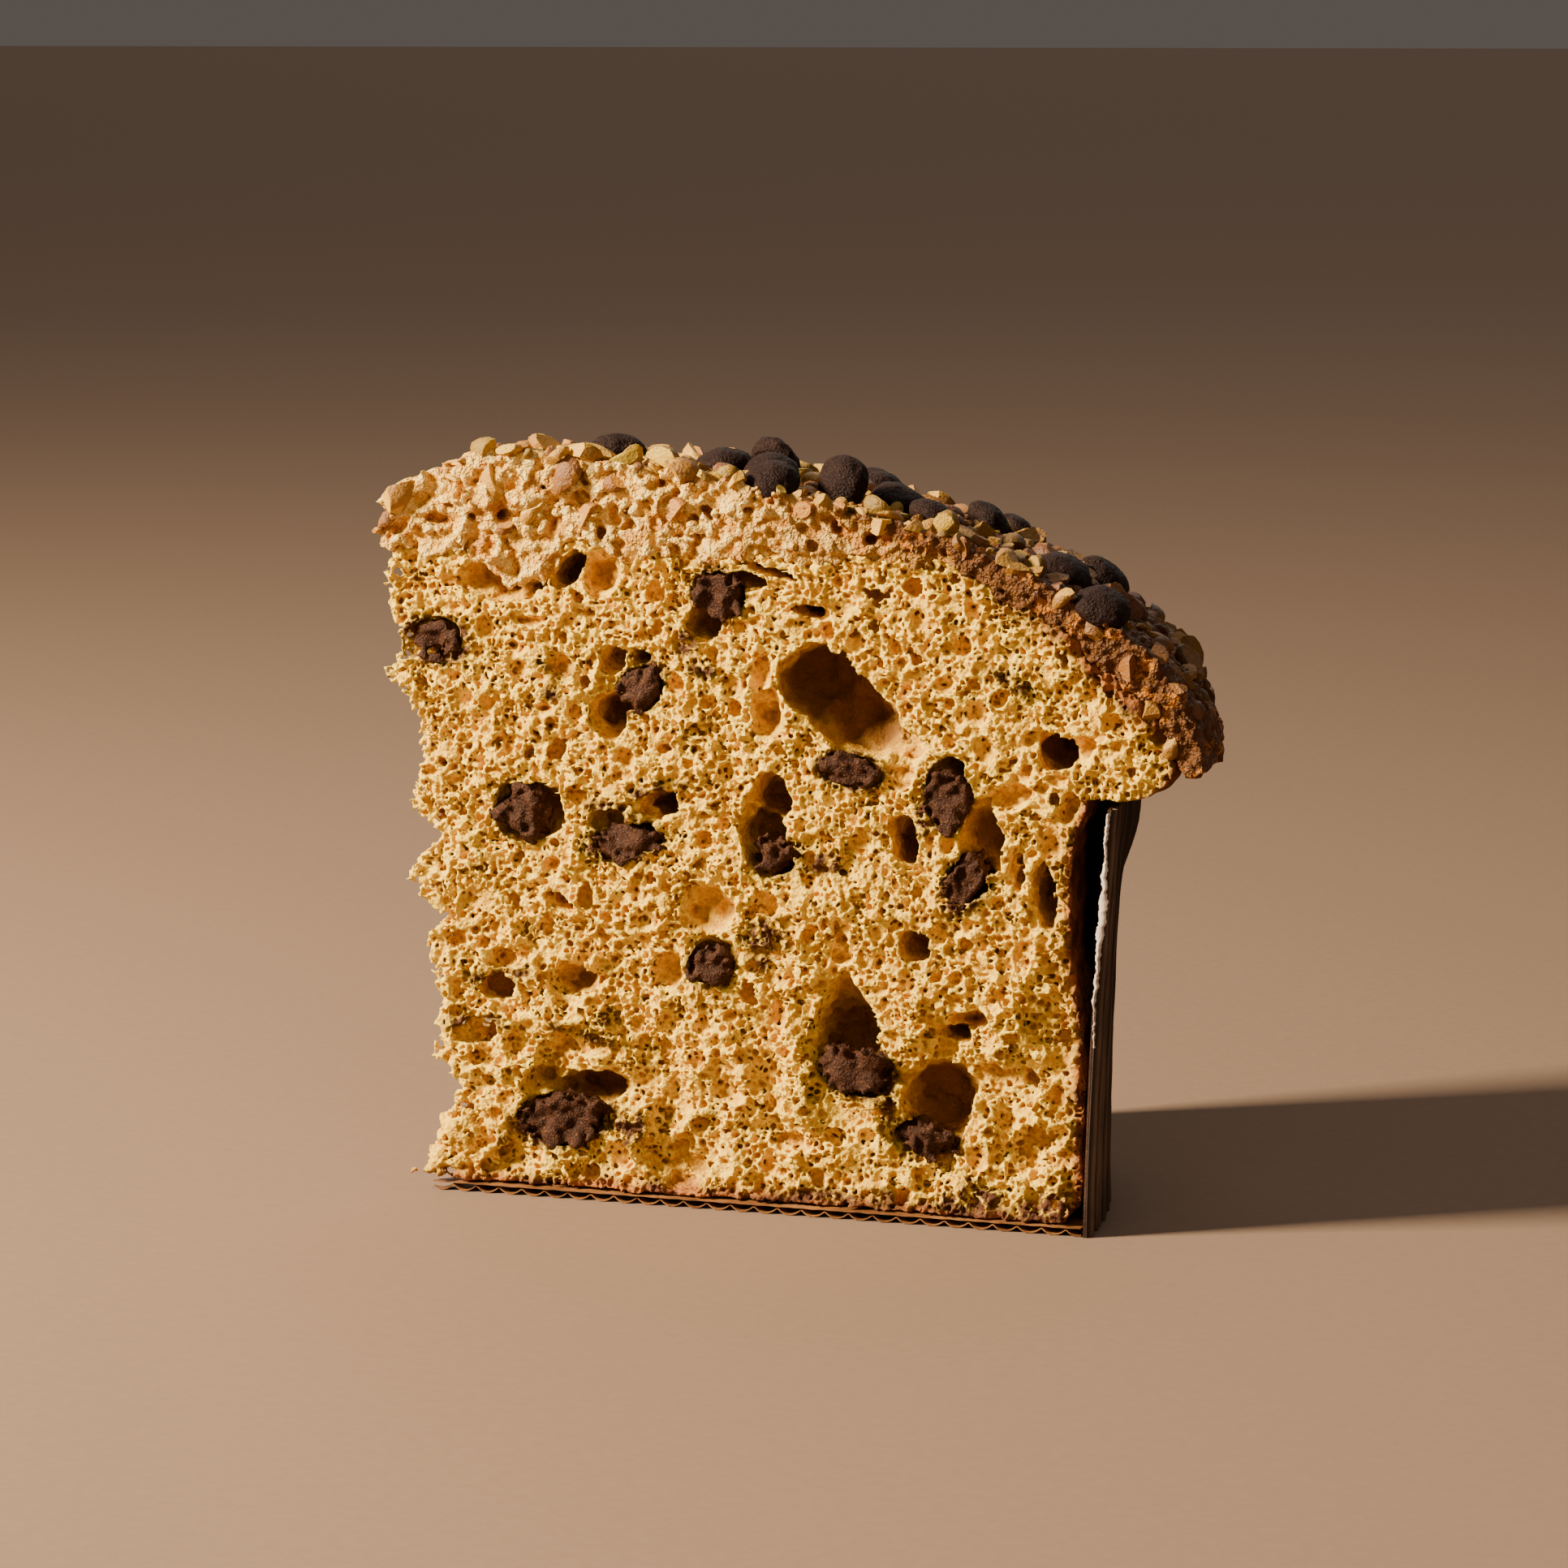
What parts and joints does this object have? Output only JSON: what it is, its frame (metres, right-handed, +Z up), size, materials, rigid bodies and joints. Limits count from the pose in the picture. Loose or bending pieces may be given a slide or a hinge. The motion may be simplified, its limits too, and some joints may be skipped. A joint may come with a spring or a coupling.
{
  "type": "panettone slice",
  "caption": "Wedge of a domed yellow panettone with a nut and chocolate glaze, airy crumb with chocolate chunks, in its fluted paper mould.",
  "frame": {"origin": "under the centre of the bounding box, on the surface that the slice stands on", "axes": "+Z up; +X along the near cut from the cake's axis to its rim; +Y away from the near cut, towards the far cut"},
  "size_m": [0.133, 0.0894, 0.1179],
  "materials": {
    "crumb": "matte",
    "glaze": "matte",
    "chocolate": "satin",
    "paper": "matte"
  },
  "bodies": {
    "root": {"chunk_near_01": "chocolate", "chunk_near_02": "chocolate", "chunk_near_03": "chocolate", "chunk_near_04": "chocolate", "chunk_near_05": "chocolate", "chunk_near_06": "chocolate", "chunk_near_07": "chocolate", "chunk_near_08": "chocolate", "chunk_near_09": "chocolate", "chunk_near_10": "chocolate", "chunk_near_11": "chocolate", "chunk_near_12": "chocolate", "chunk_near_13": "chocolate", "chunk_rear_01": "chocolate", "chunk_rear_02": "chocolate", "chunk_rear_03": "chocolate", "chunk_rear_04": "chocolate", "chunk_rear_05": "chocolate", "crumb": "crumb", "drop_01": "chocolate", "drop_02": "chocolate", "drop_03": "chocolate", "drop_04": "chocolate", "drop_05": "chocolate", "drop_06": "chocolate", "drop_07": "chocolate", "drop_08": "chocolate", "drop_09": "chocolate", "drop_10": "chocolate", "drop_11": "chocolate", "drop_12": "chocolate", "drop_13": "chocolate", "drop_14": "chocolate", "drop_15": "chocolate", "glaze": "glaze", "paper_base": "paper", "paper_wall": "paper"}
  },
  "joints": []
}
